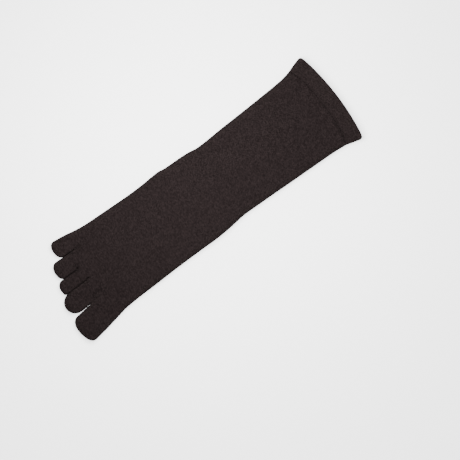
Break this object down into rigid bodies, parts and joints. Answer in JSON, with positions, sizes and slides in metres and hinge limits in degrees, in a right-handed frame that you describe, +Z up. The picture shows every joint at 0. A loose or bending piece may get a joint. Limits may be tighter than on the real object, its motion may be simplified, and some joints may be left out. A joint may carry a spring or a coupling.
{
  "type": "toe sock",
  "caption": "Crew-length knitted toe sock for a right foot, empty and lying flat with its instep up: a leg and foot tube, a pocket for each toe and a doubled welt.",
  "frame": {"origin": "middle of the sock's footprint, on the surface that it lies on", "axes": "+Y from the toes to the welt, +X from the little toe to the big toe, +Z up"},
  "size_m": [0.1074, 0.3483, 0.0112],
  "materials": {
    "knit": "matte",
    "welt_knit": "matte"
  },
  "bodies": {
    "root": {"leg_and_foot": "knit", "welt": "welt_knit", "big_toe": "knit", "second_toe": "knit", "third_toe": "knit", "fourth_toe": "knit", "little_toe": "knit"}
  },
  "joints": []
}
